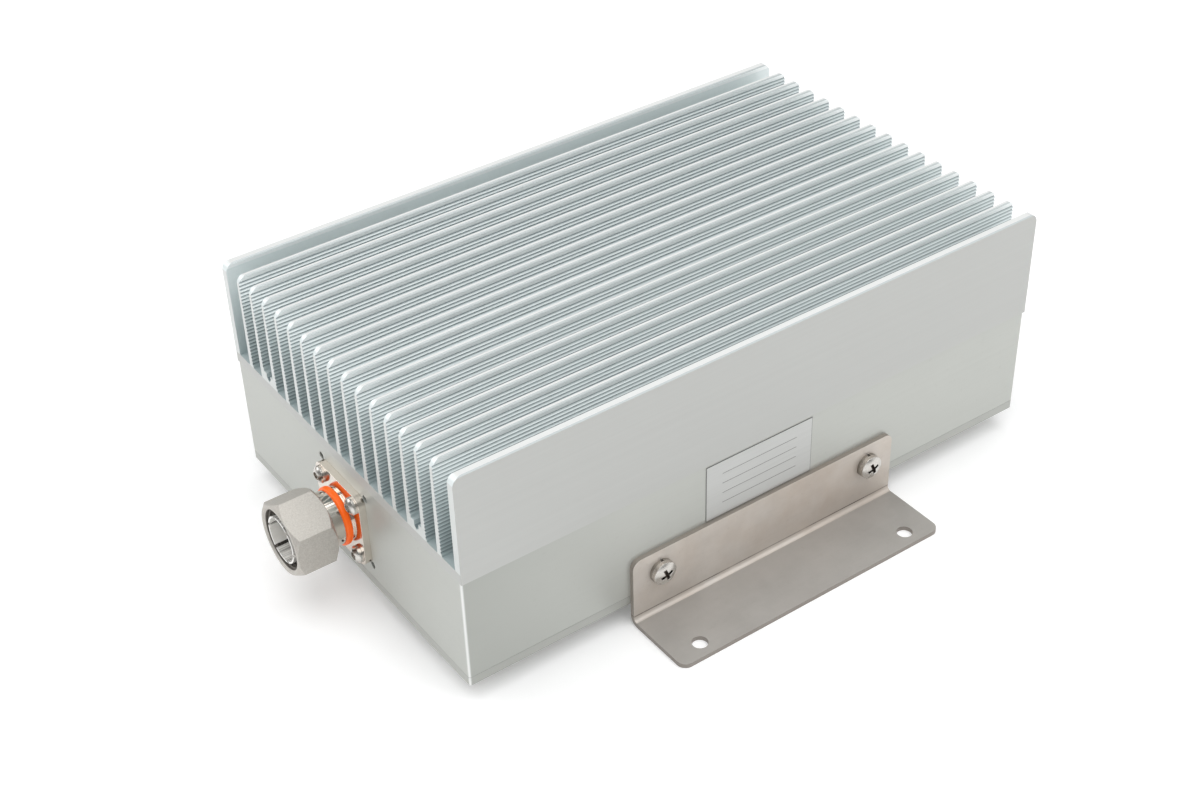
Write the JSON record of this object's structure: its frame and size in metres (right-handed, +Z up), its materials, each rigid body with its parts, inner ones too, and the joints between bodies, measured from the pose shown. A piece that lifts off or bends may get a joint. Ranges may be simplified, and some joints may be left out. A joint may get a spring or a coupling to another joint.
{
  "type": "rf dummy load",
  "caption": "Coaxial RF dummy load: a box under a finned heat sink with toothed fins, a screw-on plug with a hexagon nut at one end, and angle brackets for bolting it down.",
  "frame": {"origin": "middle of the four foot holes, on the surface the feet stand on", "axes": "+X along the fins, away from the plug; +Y away from the label side; +Z up"},
  "size_m": [0.2333, 0.1796, 0.082],
  "materials": {
    "extruded_aluminium": "matt extruded, clear",
    "machined_aluminium": "fine brushed, clear",
    "screw_steel": "bright stainless",
    "spring_steel": "plain spring steel",
    "stainless_sheet": "satin rolled sheet",
    "polished_plating": "bright polished plating over brass",
    "matt_plating": "matt blasted plating over brass",
    "bright_contact": "bright silver plating over brass",
    "white_plastic": "plain white",
    "orange_silicone": "soft silicone",
    "dark_rubber": "plain",
    "label_foil": "satin foil plate, left bare",
    "cable_jacket": "plain copper-coloured tube",
    "white_ceramic": "plain white"
  },
  "bodies": {
    "load_box": {"heat_sink": "extruded_aluminium", "housing": "machined_aluminium", "base_cover": "machined_aluminium", "heat_sink_screws": "screw_steel", "cover_screws": "screw_steel", "connector_body": "polished_plating", "contact_sleeve": "bright_contact", "insulator": "white_plastic", "centre_pin": "bright_contact", "weather_seal": "orange_silicone", "flange_gasket": "dark_rubber", "flange_screws": "screw_steel", "nut_retaining_ring": "spring_steel", "front_bracket": "stainless_sheet", "rear_bracket": "stainless_sheet", "front_bracket_screws": "screw_steel", "rear_bracket_screws": "screw_steel", "front_bracket_washers": "spring_steel", "rear_bracket_washers": "spring_steel", "rating_label": "label_foil", "load_cable": "cable_jacket", "cable_clamps": "machined_aluminium", "clamp_screws": "screw_steel", "end_resistor": "white_ceramic", "resistor_screws": "screw_steel"},
    "nut": {"coupling_nut": "matt_plating"}
  },
  "joints": [
    {"name": "nut_spin", "type": "hinge", "parent": "load_box", "child": "nut", "pos_m": [-0.1212, 0, 0.0282], "axis": [1, 0, 0], "continuous": true}
  ]
}
